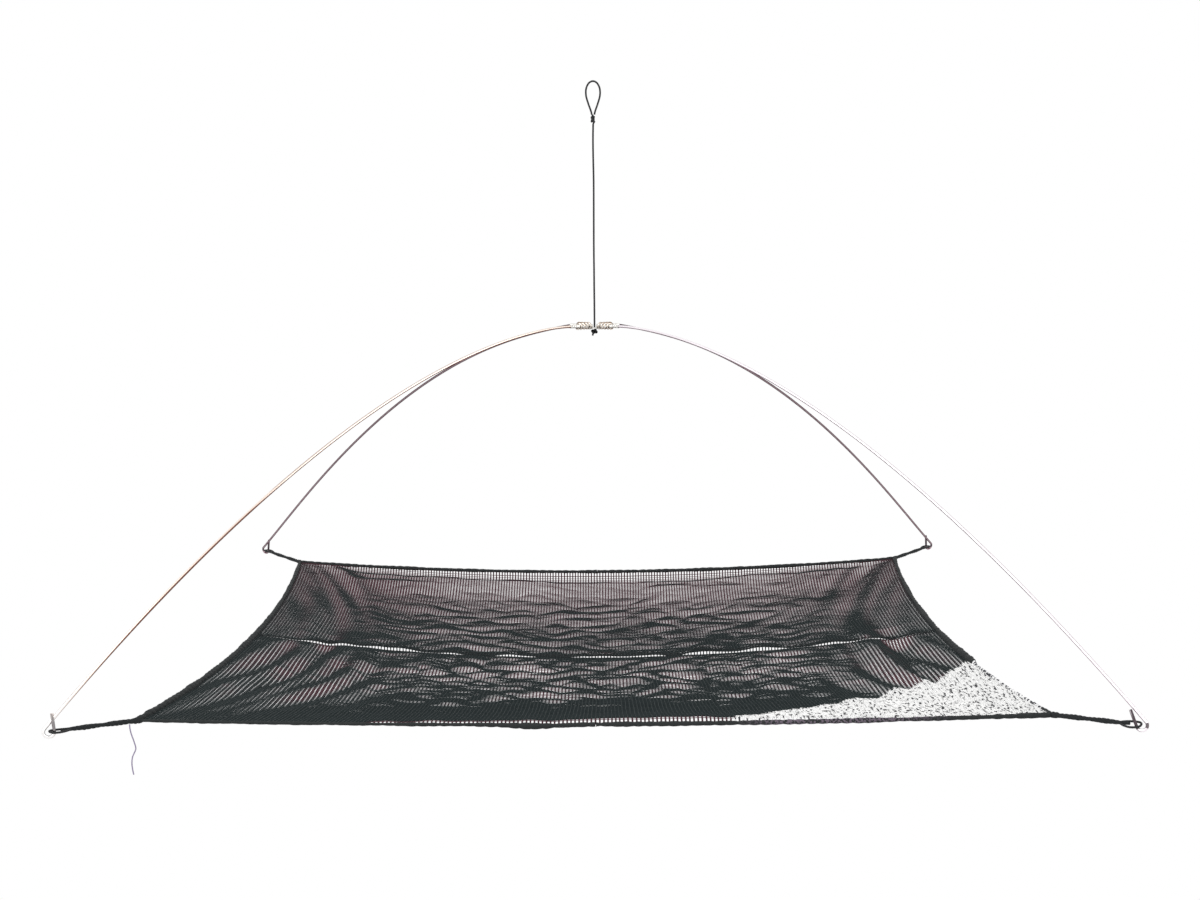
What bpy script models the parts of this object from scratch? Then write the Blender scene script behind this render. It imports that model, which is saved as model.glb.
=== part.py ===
"""Umbrella lift net: four sprung wire ribs under a rope hold a square netting panel by its corners."""

import math

import bmesh
import bpy
from mathutils import Vector

# Driving dimensions, in metres. The origin is where the lift loop bears on what holds it.
TIP_TO_TIP = 1.088
HUB_BELOW_LOOP = 0.309
RIB_DROP = 0.381
RIB_WIRE = 0.0032
RIB_BEND_POWER = 1.73
REAR_RIB_DROOP = 0.0070
DROOP_FLATNESS = 14
GAP = 0.0003

# Sizes that follow from them
EYE_REACH = TIP_TO_TIP / math.sqrt(2)
HUB_Z = -HUB_BELOW_LOOP
EYE_Z = HUB_Z - RIB_DROP

# Each corner by the signs of its x and y. Front is the side that faces -Y.
CORNERS = {
    "front_left": (-1, -1),
    "front_right": (1, -1),
    "rear_left": (-1, 1),
    "rear_right": (1, 1),
}

# Hub plate: a stamped disc with four bent-up tabs, each with a spigot for a spring
PLATE_RADIUS = 0.0074
PLATE_THICK = 0.0016
PLATE_BELOW_SPIGOT = 0.0028
ROPE_HOLE_RADIUS = 0.0017
TAB_START = 0.0052
TAB_THICK = 0.0016
TAB_WIDTH = 0.0040
SPIGOT_RADIUS = 0.0023
SPIGOT_END = 0.0125
DISC_SIDES = 32
BORE_SIDES = 20
ROD_SIDES = 16
SHARP_EDGE = math.radians(40)

# Hub springs: open coils that grip a spigot at one end and a rib sleeve at the other
SPRING_WIRE = 0.0018
SPRING_RADIUS = 0.0037
SPRING_START = 0.0088
SPRING_PITCH = 0.0055
SPRING_TURNS = 4
SPRING_STEPS = 10
GAP_MEASURE_STEP = 0.0005

# Rib sleeves, ribs and their end eyes
SLEEVE_START = 0.0225
SLEEVE_END = 0.0440
SLEEVE_RADIUS = 0.0023
EYE_RADIUS = 0.0050
EYE_SIDESTEP = 0.0037
EYE_STEPS = 12
LEG_LENGTH = 0.0180
RIB_STEPS = 26
HEADING_ROUNDS = 8
# How far each upturned leg leans in from upright
LEG_LEAN = {"front_left": -6, "front_right": 24, "rear_left": 8, "rear_right": 4}

# Netting panel as it hangs: corner knots, drawn-in sides, sagging edges and middle
PANEL_HALF = 0.474
SIDE_DRAWN_IN = 0.025
KNOT_DROP = 0.008
EDGE_SAG = 0.014
POCKET_SAG = 0.020
POCKET_POWER = 3
QUARTER_GAPS = 8
STRAND_WIDTH = 0.0040
STRAND_THICK = 0.0016
NET_INSET = 0.0042

# Edge ropes, corner tails and loops, and the lacing of the middle seam
CROSS_ROPE_RADIUS = 0.0022
SIDE_ROPE_RADIUS = 0.0036
EDGE_STEPS = 10
KNOT_CLEARANCE = 0.0046
TAIL_PROFILE = (
    (-0.0042, 0.0016),
    (-0.0025, 0.0030),
    (0.0000, 0.0034),
    (0.0035, 0.0031),
    (0.0080, 0.0023),
    (0.0180, 0.0026),
    (0.0280, 0.0027),
    (0.0400, 0.0020),
    (0.0500, 0.0024),
    (0.0600, 0.0027),
    (0.0680, 0.0023),
    (0.0745, 0.0020),
)
LOOP_CORD_RADIUS = 0.0012
LOOP_ROUTE = (
    (0.0236, -0.0015),
    (0.0180, -0.0028),
    (0.0110, -0.0035),
    (0.0050, -0.0033),
    (0.0022, -0.0012),
    (0.0016, 0.0019),
    (0.0022, 0.0050),
    (0.0050, 0.0072),
    (0.0110, 0.0072),
    (0.0180, 0.0048),
    (0.0236, 0.0015),
)
LACING_RADIUS = 0.0008
LACING_STEPS = 12

# Lift rope, its stopper knot under the plate, and the loop tied at its top
ROPE_RADIUS = 0.0012
ROPE_SPACING = 0.0064
LOOP_SPACING = 0.0060
ROPE_BOTTOM = HUB_Z - PLATE_BELOW_SPIGOT - PLATE_THICK / 2 - GAP
ROPE_ROUTE = (
    (0.0000, 0.0, ROPE_BOTTOM),
    (0.0000, 0.0, -0.300),
    (0.0000, 0.0, -0.280),
    (-0.0001, 0.0, -0.260),
    (-0.0001, 0.0, -0.240),
    (-0.0002, 0.0, -0.220),
    (-0.0002, 0.0, -0.200),
    (-0.0001, 0.0, -0.180),
    (0.0000, 0.0, -0.160),
    (0.0001, 0.0, -0.140),
    (0.0001, 0.0, -0.120),
    (-0.0002, 0.0, -0.100),
    (-0.0004, 0.0, -0.080),
    (-0.0003, 0.0, -0.065),
    (0.0000, 0.0, -0.0523),
)
STOPPER_KNOT = (
    ((0.0000, 0.0, 0.0000), 0.0030),
    ((0.0000, 0.0, -0.0012), 0.0041),
    ((-0.0002, 0.0, -0.0030), 0.0040),
    ((-0.0015, 0.0, -0.0052), 0.0024),
    ((-0.0024, 0.0, -0.0080), 0.0013),
    ((-0.0026, 0.0, -0.0092), 0.0012),
)
LOOP_KNOT = (
    ((0.0, 0.0, -0.0520), 0.0018),
    ((0.0, 0.0, -0.0500), 0.0030),
    ((0.0, 0.0, -0.0465), 0.0034),
    ((0.0, 0.0, -0.0430), 0.0033),
    ((0.0, 0.0, -0.0410), 0.0029),
)
LIFT_LOOP_ROUTE = (
    (-0.0016, 0.0, -0.0407),
    (-0.0028, 0.0, -0.0360),
    (-0.0060, 0.0, -0.0270),
    (-0.0088, 0.0, -0.0170),
    (-0.0086, 0.0, -0.0080),
    (-0.0052, 0.0, -0.0012),
    (0.0000, 0.0, 0.0012),
    (0.0052, 0.0, -0.0012),
    (0.0086, 0.0, -0.0080),
    (0.0088, 0.0, -0.0170),
    (0.0060, 0.0, -0.0270),
    (0.0028, 0.0, -0.0360),
    (0.0016, 0.0, -0.0407),
)

# Loose twine end at the front left corner, from its start on the corner tail
TWINE_RADIUS = 0.0006
TWINE_SPACING = 0.0030
TWINE_START = (-0.4800, -0.4835, EYE_Z - 0.0096)
TWINE_ROUTE = (
    (0.0000, 0.0000, 0.0000),
    (0.0005, -0.0004, -0.0050),
    (0.0018, -0.0008, -0.0104),
    (0.0034, -0.0010, -0.0150),
    (0.0046, -0.0010, -0.0190),
    (0.0056, -0.0008, -0.0230),
    (0.0055, -0.0004, -0.0265),
    (0.0036, 0.0000, -0.0305),
    (0.0018, 0.0002, -0.0345),
    (0.0010, 0.0004, -0.0390),
    (0.0009, 0.0004, -0.0430),
    (0.0014, 0.0002, -0.0475),
    (0.0024, 0.0000, -0.0530),
)


def plated_steel():
    return material("plated_steel", (0.74, 0.73, 0.70), 0.30, 1.0)


def spring_steel():
    return material("spring_steel", (0.50, 0.45, 0.36), 0.35, 1.0)


def rib_steel():
    return material("rib_steel", (0.76, 0.70, 0.60), 0.28, 1.0)


def black_netting():
    return material("black_netting", (0.018, 0.020, 0.024), 0.75, 0.0)


def black_cord():
    return material("black_cord", (0.022, 0.022, 0.025), 0.80, 0.0)


def grey_twine():
    return material("grey_twine", (0.20, 0.19, 0.26), 0.85, 0.0)


def material(name, colour, roughness, metallic):
    """The named Principled material, made once."""
    found = bpy.data.materials.get(name)
    if found:
        return found
    made = bpy.data.materials.new(name)
    made.use_nodes = True
    shader = made.node_tree.nodes["Principled BSDF"]
    shader.inputs["Base Color"].default_value = (*colour, 1.0)
    shader.inputs["Roughness"].default_value = roughness
    shader.inputs["Metallic"].default_value = metallic
    return made


def clear_scene():
    for old in list(bpy.data.objects):
        bpy.data.objects.remove(old, do_unlink=True)


def add_pivot(name, place):
    """An empty on a joint's axis, which the pieces that turn about it hang from."""
    pivot = bpy.data.objects.new(name, None)
    pivot.location = place
    bpy.context.scene.collection.objects.link(pivot)
    return pivot


def add_object(name, data, finish, pivot=None):
    """An object whose points are world points, under a pivot if it turns."""
    made = bpy.data.objects.new(name, data)
    bpy.context.scene.collection.objects.link(made)
    data.materials.append(finish)
    if pivot:
        made.parent = pivot
        made.location = -pivot.location
    return made


def add_tube(name, points, radii, finish, pivot=None, resolution=2):
    """A round wire or cord along points, of one radius or of one radius for each point."""
    curve = bpy.data.curves.new(name, "CURVE")
    curve.dimensions = "3D"
    curve.bevel_depth = max(radii)
    curve.bevel_resolution = resolution
    curve.use_fill_caps = True
    spline = curve.splines.new("POLY")
    spline.points.add(len(points) - 1)
    for target, point, radius in zip(spline.points, points, radii):
        target.co = (*point, 1.0)
        target.radius = radius / max(radii)
    return add_object(name, curve, finish, pivot)


def even_tube(name, points, radius, finish, pivot=None, resolution=2):
    return add_tube(name, points, [radius] * len(points), finish, pivot, resolution)


def smooth_route(route, spacing):
    """Points about one spacing apart on the smooth curve through a route's own points."""
    knots = [Vector(point) for point in route]
    knots = [2 * knots[0] - knots[1], *knots, 2 * knots[-1] - knots[-2]]
    points = []
    for before, start, end, after in zip(knots, knots[1:], knots[2:], knots[3:]):
        steps = max(1, round((end - start).length / spacing))
        for step in range(steps):
            t = step / steps
            bend = 2 * start - 2 * end + (end - before) / 2 + (after - start) / 2
            ease = 3 * (end - start) - (end - before) - (after - start) / 2
            points.append(start + t * (end - before) / 2 + t * t * ease + t**3 * bend)
    points.append(knots[-2])
    return points


def corner_point(corner, reach, side, z):
    """A point by its reach out along a corner's diagonal and its offset beside it."""
    sx, sy = CORNERS[corner]
    outward = Vector((sx, sy, 0.0)) / math.sqrt(2)
    beside = Vector((-sx, sy, 0.0)) / math.sqrt(2)
    return outward * reach + beside * side + Vector((0.0, 0.0, z))


def least_gap(points, wire):
    """The least clear distance between stretches of one wire that aren't next to each other."""
    fine = smooth_route(points, GAP_MEASURE_STEP)
    apart = math.ceil(2 * wire / GAP_MEASURE_STEP)
    distances = [
        (first - second).length
        for i, first in enumerate(fine)
        for second in fine[i + apart:]
    ]
    return min(distances) - wire


def build_hub_plate():
    """One stamping: a disc with a rope hole, and four tabs that each carry a spigot."""
    plate_z = HUB_Z - PLATE_BELOW_SPIGOT
    plate = bmesh.new()
    bmesh.ops.create_cone(
        plate,
        cap_ends=True,
        segments=DISC_SIDES,
        radius1=PLATE_RADIUS,
        radius2=PLATE_RADIUS,
        depth=PLATE_THICK,
    )
    bmesh.ops.translate(plate, verts=plate.verts, vec=(0, 0, plate_z))
    mesh = bpy.data.meshes.new("hub_plate")
    plate.to_mesh(mesh)
    plate.free()
    mesh.shade_smooth()
    mesh.set_sharp_from_angle(angle=SHARP_EDGE)
    hub = add_object("hub_plate", mesh, plated_steel())

    for corner in CORNERS:
        tab_z = plate_z + PLATE_BELOW_SPIGOT / 2
        tab_end = TAB_START + TAB_THICK
        tab = add_block("tab", corner, TAB_START, tab_end, TAB_WIDTH, tab_z, PLATE_BELOW_SPIGOT)
        spigot = add_rod("spigot", corner, TAB_START, SPIGOT_END, SPIGOT_RADIUS)
        join(hub, tab, "UNION")
        join(hub, spigot, "UNION")
    bore = bmesh.new()
    bmesh.ops.create_cone(
        bore,
        cap_ends=True,
        segments=BORE_SIDES,
        radius1=ROPE_HOLE_RADIUS,
        radius2=ROPE_HOLE_RADIUS,
        depth=3 * PLATE_THICK,
    )
    bmesh.ops.translate(bore, verts=bore.verts, vec=(0, 0, plate_z))
    join(hub, add_helper("rope_hole", bore), "DIFFERENCE")


def add_helper(name, shape):
    """A hidden mesh that a Boolean reads."""
    mesh = bpy.data.meshes.new(name)
    shape.to_mesh(mesh)
    shape.free()
    helper = bpy.data.objects.new(name, mesh)
    bpy.context.scene.collection.objects.link(helper)
    helper.hide_render = True
    helper.display_type = "WIRE"
    return helper


def add_block(name, corner, start, end, width, z, height):
    """A block along a corner's diagonal."""
    block = bmesh.new()
    bmesh.ops.create_cube(block, size=1.0)
    for vertex in block.verts:
        reach = start + (vertex.co.x + 0.5) * (end - start)
        vertex.co = corner_point(corner, reach, vertex.co.y * width, z + vertex.co.z * height)
    bmesh.ops.recalc_face_normals(block, faces=block.faces)
    return add_helper(f"{name}_{corner}", block)


def add_rod(name, corner, start, end, radius):
    """A round rod along a corner's diagonal, at the height of the springs."""
    rod = bmesh.new()
    bmesh.ops.create_cone(
        rod, cap_ends=True, segments=ROD_SIDES, radius1=radius, radius2=radius, depth=1.0
    )
    for vertex in rod.verts:
        reach = start + (vertex.co.z + 0.5) * (end - start)
        vertex.co = corner_point(corner, reach, vertex.co.x, HUB_Z + vertex.co.y)
    bmesh.ops.recalc_face_normals(rod, faces=rod.faces)
    return add_helper(f"{name}_{corner}", rod)


def join(target, helper, operation):
    boolean = target.modifiers.new(helper.name, "BOOLEAN")
    boolean.operation = operation
    boolean.object = helper
    boolean.solver = "EXACT"


def build_spring(corner):
    """An open coil of round wire, with a short straight end at each side."""
    turning = []
    for step in range(SPRING_TURNS * SPRING_STEPS + 1):
        angle = 2 * math.pi * step / SPRING_STEPS
        reach = SPRING_START + SPRING_PITCH * step / SPRING_STEPS
        side = SPRING_RADIUS * math.sin(angle)
        z = HUB_Z - SPRING_RADIUS * math.cos(angle)
        turning.append(corner_point(corner, reach, side, z))
    straight = corner_point(corner, 0, SPRING_WIRE, 0)
    points = [turning[0] - straight, *turning, turning[-1] + straight]
    even_tube(f"hub_spring_{corner}", points, SPRING_WIRE / 2, spring_steel(), resolution=1)
    gap = least_gap(turning, SPRING_WIRE)
    print(f"hub_spring_{corner}: least gap to itself {gap * 1000:.2f} mm")


def build_sleeve(corner, pivot):
    """A crimped steel tube on the inner end of a rib, which the spring grips."""
    inner = RIB_WIRE / 2 + GAP
    profile = (
        (SLEEVE_START, inner),
        (SLEEVE_START, SLEEVE_RADIUS),
        (SLEEVE_END, SLEEVE_RADIUS),
        (SLEEVE_END, inner),
    )
    sleeve = bmesh.new()
    rings = []
    for step in range(ROD_SIDES):
        angle = 2 * math.pi * step / ROD_SIDES
        rings.append([
            sleeve.verts.new(
                corner_point(corner, reach, radius * math.sin(angle), HUB_Z + radius * math.cos(angle))
            )
            for reach, radius in profile
        ])
    for ring, following in zip(rings, rings[1:] + rings[:1]):
        for k in range(len(profile)):
            other = (k + 1) % len(profile)
            sleeve.faces.new((ring[k], ring[other], following[other], following[k]))
    bmesh.ops.recalc_face_normals(sleeve, faces=sleeve.faces)
    mesh = bpy.data.meshes.new(f"rib_sleeve_{corner}")
    sleeve.to_mesh(mesh)
    sleeve.free()
    mesh.shade_smooth()
    mesh.set_sharp_from_angle(angle=SHARP_EDGE)
    add_object(f"rib_sleeve_{corner}", mesh, plated_steel(), pivot)


def rib_points(corner):
    """The centre line of a rib: straight in its sleeve, bowed to its tip, then an eye and a leg."""
    droop = REAR_RIB_DROOP if corner.startswith("rear") else 0
    heading = math.radians(-45)
    for _ in range(HEADING_ROUNDS):
        entry_reach = EYE_REACH - EYE_RADIUS * math.sin(heading)
        entry_z = EYE_Z + EYE_RADIUS * math.cos(heading)
        run = entry_reach - SLEEVE_END
        drop = HUB_Z - entry_z
        heading = -math.atan((RIB_BEND_POWER * drop - DROOP_FLATNESS * droop) / run)
    points = [corner_point(corner, SLEEVE_START + GAP, 0, HUB_Z)]
    for step in range(RIB_STEPS):
        share = step / RIB_STEPS
        lower = droop * (1 - share**DROOP_FLATNESS - (1 - share) ** DROOP_FLATNESS)
        z = HUB_Z - drop * share**RIB_BEND_POWER - lower
        points.append(corner_point(corner, SLEEVE_END + run * share, 0, z))

    lean = math.radians(LEG_LEAN[corner])
    turn = heading + 1.5 * math.pi - lean
    for step in range(EYE_STEPS + 1):
        share = step / EYE_STEPS
        angle = math.pi / 2 + heading - turn * share
        side = EYE_SIDESTEP * (1 - math.cos(math.pi * share)) / 2
        reach = EYE_REACH + EYE_RADIUS * math.cos(angle)
        z = EYE_Z + EYE_RADIUS * math.sin(angle)
        points.append(corner_point(corner, reach, side, z))
    leg = corner_point(corner, -math.sin(lean) * LEG_LENGTH, 0, math.cos(lean) * LEG_LENGTH)
    points += [points[-1] + leg / 2, points[-1] + leg]
    return points


def build_rib(corner, pivot):
    """One bowed length of hard wire, its end curled into an eye with an upturned leg."""
    points = rib_points(corner)
    even_tube(f"rib_{corner}", points, RIB_WIRE / 2, rib_steel(), pivot)
    gap = least_gap(points[RIB_STEPS:], RIB_WIRE)
    print(f"rib_{corner}: least gap of its eye to itself {gap * 1000:.2f} mm")


def panel_point(u, v):
    """A point of the hung netting. u and v run from -1 to 1 across its width and depth."""
    across = 1 - u * u
    along = 1 - v * v
    x = u * (PANEL_HALF - SIDE_DRAWN_IN * along)
    y = v * (PANEL_HALF - SIDE_DRAWN_IN * across)
    pocket = POCKET_SAG * across * (1 - abs(v) ** POCKET_POWER)
    return Vector((x, y, EYE_Z - KNOT_DROP - EDGE_SAG * (across + along) - pocket))


def build_net_quarter(corner, pivot):
    """A quarter of the netting as a coarse net of flat strands, sagging as the panel does."""
    sx, sy = CORNERS[corner]
    width = STRAND_WIDTH / PANEL_HALF
    start = GAP / PANEL_HALF
    pitch = (1 - NET_INSET / PANEL_HALF - width - start) / QUARTER_GAPS
    lines = [start + pitch * i + edge for i in range(QUARTER_GAPS + 1) for edge in (0, width)]
    last = len(lines) - 1
    net = bmesh.new()
    rows = [[net.verts.new(panel_point(sx * u, sy * v)) for u in lines] for v in lines]
    for j in range(last):
        for i in range(last):
            if i % 2 and j % 2:
                continue
            around = (rows[j][i], rows[j][i + 1], rows[j + 1][i + 1], rows[j + 1][i])
            net.faces.new(around if sx * sy > 0 else around[::-1])
    mesh = bpy.data.meshes.new(f"net_{corner}")
    net.to_mesh(mesh)
    net.free()
    quarter = add_object(f"net_{corner}", mesh, black_netting(), pivot)
    strand = quarter.modifiers.new("strand", "SOLIDIFY")
    strand.thickness = STRAND_THICK
    strand.offset = 0


def build_edge_ropes(corner, pivot):
    """The two half edges that run from a corner knot to the middles of its sides."""
    sx, sy = CORNERS[corner]
    start = GAP / PANEL_HALF
    end = 1 - KNOT_CLEARANCE / PANEL_HALF
    shares = [start + (end - start) * step / EDGE_STEPS for step in range(EDGE_STEPS + 1)]
    side_name = "left" if sx < 0 else "right"
    end_name = "front" if sy < 0 else "rear"
    cross_rope = [panel_point(sx * share, sy) for share in shares]
    side_rope = [panel_point(sx, sy * share) for share in shares]
    even_tube(f"{end_name}_edge_rope_{side_name}", cross_rope, CROSS_ROPE_RADIUS, black_cord(), pivot)
    even_tube(f"{side_name}_edge_rope_{end_name}", side_rope, SIDE_ROPE_RADIUS, black_cord(), pivot)


def build_corner_tail(corner, pivot):
    """The knot at a corner, and the netting gathered and twisted beyond it."""
    knot_reach = PANEL_HALF * math.sqrt(2)
    rise = KNOT_DROP / (EYE_REACH - knot_reach)
    points = []
    for distance, _ in TAIL_PROFILE:
        z = EYE_Z - KNOT_DROP + distance * rise
        points.append(corner_point(corner, knot_reach + distance, 0, z))
    radii = [radius for _, radius in TAIL_PROFILE]
    add_tube(f"corner_tail_{corner}", points, radii, black_cord(), pivot)


def build_corner_loop(corner, pivot):
    """The cord loop that passes through the rib's eye and carries the corner."""
    knot_reach = PANEL_HALF * math.sqrt(2)
    rise = KNOT_DROP / (EYE_REACH - knot_reach)
    points = [
        corner_point(corner, EYE_REACH - inward, side, EYE_Z - inward * rise)
        for inward, side in LOOP_ROUTE
    ]
    even_tube(f"corner_loop_{corner}", points, LOOP_CORD_RADIUS, black_cord(), pivot)


def build_seam_lacing(corner, pivot):
    """Half of the lacing twine that joins the front and rear halves of the netting."""
    sx, _ = CORNERS[corner]
    start = GAP / PANEL_HALF
    end = 1 - (SIDE_ROPE_RADIUS + 2 * GAP) / PANEL_HALF
    above = Vector((0, 0, STRAND_THICK / 2 + LACING_RADIUS + GAP))
    points = []
    for step in range(LACING_STEPS + 1):
        share = start + (end - start) * step / LACING_STEPS
        points.append(panel_point(sx * share, 0) + above)
    name = "seam_lacing_left" if sx < 0 else "seam_lacing_right"
    even_tube(name, points, LACING_RADIUS, black_cord(), pivot, resolution=1)


def build_lift_rope():
    """The braided rope, the knot that stops it under the plate, and the loop tied above."""
    even_tube("lift_rope", smooth_route(ROPE_ROUTE, ROPE_SPACING), ROPE_RADIUS, black_cord())
    knot_top = Vector((0, 0, ROPE_BOTTOM - GAP))
    points = [knot_top + Vector(place) for place, _ in STOPPER_KNOT]
    add_tube("stopper_knot", points, [radius for _, radius in STOPPER_KNOT], black_cord())
    points = [Vector(place) for place, _ in LOOP_KNOT]
    add_tube("loop_knot", points, [radius for _, radius in LOOP_KNOT], black_cord())
    even_tube("lift_loop", smooth_route(LIFT_LOOP_ROUTE, LOOP_SPACING), ROPE_RADIUS, black_cord())


def build_twine_end(pivot):
    """A thin loose end of twine that hangs from the front left corner."""
    start = Vector(TWINE_START)
    route = [start + Vector(step) for step in TWINE_ROUTE]
    even_tube("twine_end", smooth_route(route, TWINE_SPACING), TWINE_RADIUS, grey_twine(), pivot)


def build():
    clear_scene()
    build_hub_plate()
    build_lift_rope()
    hinge_reach = (SPIGOT_END + SLEEVE_START) / 2
    for corner, (_, sy) in CORNERS.items():
        build_spring(corner)
        rib_hinge = add_pivot(f"rib_hinge_{corner}", corner_point(corner, hinge_reach, 0, HUB_Z))
        build_sleeve(corner, rib_hinge)
        build_rib(corner, rib_hinge)
        net_pivot = add_pivot(f"net_pivot_{corner}", corner_point(corner, EYE_REACH, 0, EYE_Z))
        build_net_quarter(corner, net_pivot)
        build_edge_ropes(corner, net_pivot)
        build_corner_tail(corner, net_pivot)
        build_corner_loop(corner, net_pivot)
        if sy < 0:
            build_seam_lacing(corner, net_pivot)
        if corner == "front_left":
            build_twine_end(net_pivot)


build()
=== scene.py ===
"""The looks of an umbrella lift net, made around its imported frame."""

import math

import bpy
import numpy as np
from mathutils import Euler, Matrix, Vector, noise


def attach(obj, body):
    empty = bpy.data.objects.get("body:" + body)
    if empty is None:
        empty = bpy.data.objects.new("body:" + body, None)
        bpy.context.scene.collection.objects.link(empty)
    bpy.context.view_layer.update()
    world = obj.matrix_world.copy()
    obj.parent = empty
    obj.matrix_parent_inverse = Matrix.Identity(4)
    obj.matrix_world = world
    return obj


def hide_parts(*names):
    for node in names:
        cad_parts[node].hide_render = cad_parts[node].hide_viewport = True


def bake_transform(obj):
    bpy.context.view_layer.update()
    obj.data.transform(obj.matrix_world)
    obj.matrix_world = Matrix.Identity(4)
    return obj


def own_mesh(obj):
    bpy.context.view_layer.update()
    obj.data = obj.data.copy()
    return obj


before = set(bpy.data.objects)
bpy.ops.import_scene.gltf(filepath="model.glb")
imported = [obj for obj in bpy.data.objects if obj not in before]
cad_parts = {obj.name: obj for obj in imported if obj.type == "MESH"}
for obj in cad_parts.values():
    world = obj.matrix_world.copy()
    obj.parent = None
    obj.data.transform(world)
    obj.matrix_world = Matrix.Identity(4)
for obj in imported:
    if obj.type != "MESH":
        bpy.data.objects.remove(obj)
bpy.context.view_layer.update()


# Camera. It stands 2.2 m in front of the rope, a little above the hub, and looks slightly down,
# with the rope in the middle of the frame.
CAMERA_PLACE = (0.0078, -2.1775, -0.236)
FOCAL_PIXELS = 1683.56
PHOTO_WIDTH = 1200
LOOK_DOWN = 0.1072
LOOK_LEFT = 0.0008
CAMERA_TILT = -0.0064

bpy.ops.object.select_all(action="DESELECT")
bpy.ops.object.camera_add(location=CAMERA_PLACE)
camera = bpy.context.object
camera.name = "camera"
camera.data.lens = camera.data.sensor_width * FOCAL_PIXELS / PHOTO_WIDTH
level_view = Euler((math.pi / 2 - LOOK_DOWN, 0, LOOK_LEFT)).to_matrix()
camera.rotation_euler = (level_view @ Matrix.Rotation(CAMERA_TILT, 3, "Z")).to_euler()
bpy.context.scene.camera = camera


# Lift rope. A braided black cord of 2.4 mm comes up through the hole of the hub plate, is stopped
# under it by an overhand knot with a short tail, and ends above in a tied hand loop.
HUB_Z = -0.309
EYE_Z = -0.690
ROPE_BOTTOM = HUB_Z - 0.0039
ROPE_RADIUS = 0.0012
ROPE_ROUTE = (
    (0.0000, 0.0, ROPE_BOTTOM),
    (0.0000, 0.0, -0.300),
    (0.0000, 0.0, -0.280),
    (-0.0001, 0.0, -0.260),
    (-0.0001, 0.0, -0.240),
    (-0.0002, 0.0, -0.220),
    (-0.0002, 0.0, -0.200),
    (-0.0001, 0.0, -0.180),
    (0.0000, 0.0, -0.160),
    (0.0001, 0.0, -0.140),
    (0.0001, 0.0, -0.120),
    (-0.0002, 0.0, -0.100),
    (-0.0004, 0.0, -0.080),
    (-0.0003, 0.0, -0.065),
    (0.0000, 0.0, -0.0523),
)
LIFT_LOOP_ROUTE = (
    (-0.0016, 0.0, -0.0407),
    (-0.0028, 0.0, -0.0360),
    (-0.0060, 0.0, -0.0270),
    (-0.0088, 0.0, -0.0170),
    (-0.0086, 0.0, -0.0080),
    (-0.0052, 0.0, -0.0012),
    (0.0000, 0.0, 0.0012),
    (0.0052, 0.0, -0.0012),
    (0.0086, 0.0, -0.0080),
    (0.0088, 0.0, -0.0170),
    (0.0060, 0.0, -0.0270),
    (0.0028, 0.0, -0.0360),
    (0.0016, 0.0, -0.0407),
)
BRAID_RIDGES = 4
BRAID_STEP = 0.0023
BRAID_DEPTH = 0.10
CORD_RING = 0.0004
CORD_SIDES = 20
KNOT_SIDES = 12
KNOT_STEPS = 34
KNOT_START = 0.35
KNOT_GAP = 0.75
KNOT_SWING = 0.52
OFF_AXIS = (0.31, 0.95, 0.05)


class Value:
    """What a shader socket gives. Arithmetic on it adds Math nodes."""

    def __init__(self, finish, socket):
        self.finish = finish
        self.socket = socket

    def math(self, operation, *others):
        operands = dict(enumerate((self, *others)))
        return self.finish.node("ShaderNodeMath", {"operation": operation}, operands)

    def __add__(self, other):
        return self.math("ADD", other)

    def __radd__(self, other):
        return self.math("ADD", other)

    def __sub__(self, other):
        return self.math("SUBTRACT", other)

    def __rsub__(self, other):
        return self.math("MULTIPLY", -1.0).math("ADD", other)

    def __mul__(self, other):
        return self.math("MULTIPLY", other)

    def __rmul__(self, other):
        return self.math("MULTIPLY", other)


class Finish:
    """A Principled material. Every other node of it comes from node()."""

    def __init__(self, name, roughness, metallic=0.0, specular=0.5):
        self.material = bpy.data.materials.new(name)
        self.material.use_nodes = True
        self.tree = self.material.node_tree
        self.shader = self.tree.nodes["Principled BSDF"]
        self.shader.inputs["Roughness"].default_value = roughness
        self.shader.inputs["Metallic"].default_value = metallic
        self.shader.inputs["Specular IOR Level"].default_value = specular

    def node(self, kind, settings=(), values=(), output=0):
        made = self.tree.nodes.new(kind)
        for name, setting in dict(settings).items():
            setattr(made, name, setting)
        for key, value in dict(values).items():
            self.feed(made.inputs[key], value)
        return Value(self, made.outputs[output])

    def feed(self, socket, value):
        if isinstance(value, Value):
            self.tree.links.new(value.socket, socket)
        elif socket.type == "RGBA":
            socket.default_value = (*value, 1.0)
        else:
            socket.default_value = value

    def place(self, stretch=(1.0, 1.0, 1.0)):
        """The object's own coordinates, stretched."""
        whole = self.node("ShaderNodeTexCoord", output="Object")
        return self.node("ShaderNodeMapping", values={"Vector": whole, "Scale": stretch})

    def axes(self, place):
        """The first two coordinates of a place."""
        return [self.node("ShaderNodeSeparateXYZ", values={0: place}, output=k) for k in (0, 1)]

    def grain(self, scale, detail=2.0, stretch=(1.0, 1.0, 1.0)):
        values = {"Vector": self.place(stretch), "Scale": scale, "Detail": detail}
        return self.node("ShaderNodeTexNoise", values=values, output="Fac")

    def ease(self, value, low, high):
        """0 below low, 1 above high, and smooth between them."""
        values = {"Value": value, "From Min": low, "From Max": high}
        return self.node("ShaderNodeMapRange", {"interpolation_type": "SMOOTHSTEP"}, values)

    def mix(self, share, first, second):
        values = {0: share, 6: first, 7: second}
        return self.node("ShaderNodeMix", {"data_type": "RGBA"}, values, output=2)

    def colour(self, value):
        self.feed(self.shader.inputs["Base Color"], value)

    def roughness(self, value):
        self.feed(self.shader.inputs["Roughness"], value)

    def bump(self, height, depth):
        values = {"Height": height, "Distance": depth}
        self.feed(self.shader.inputs["Normal"], self.node("ShaderNodeBump", values=values))


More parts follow.
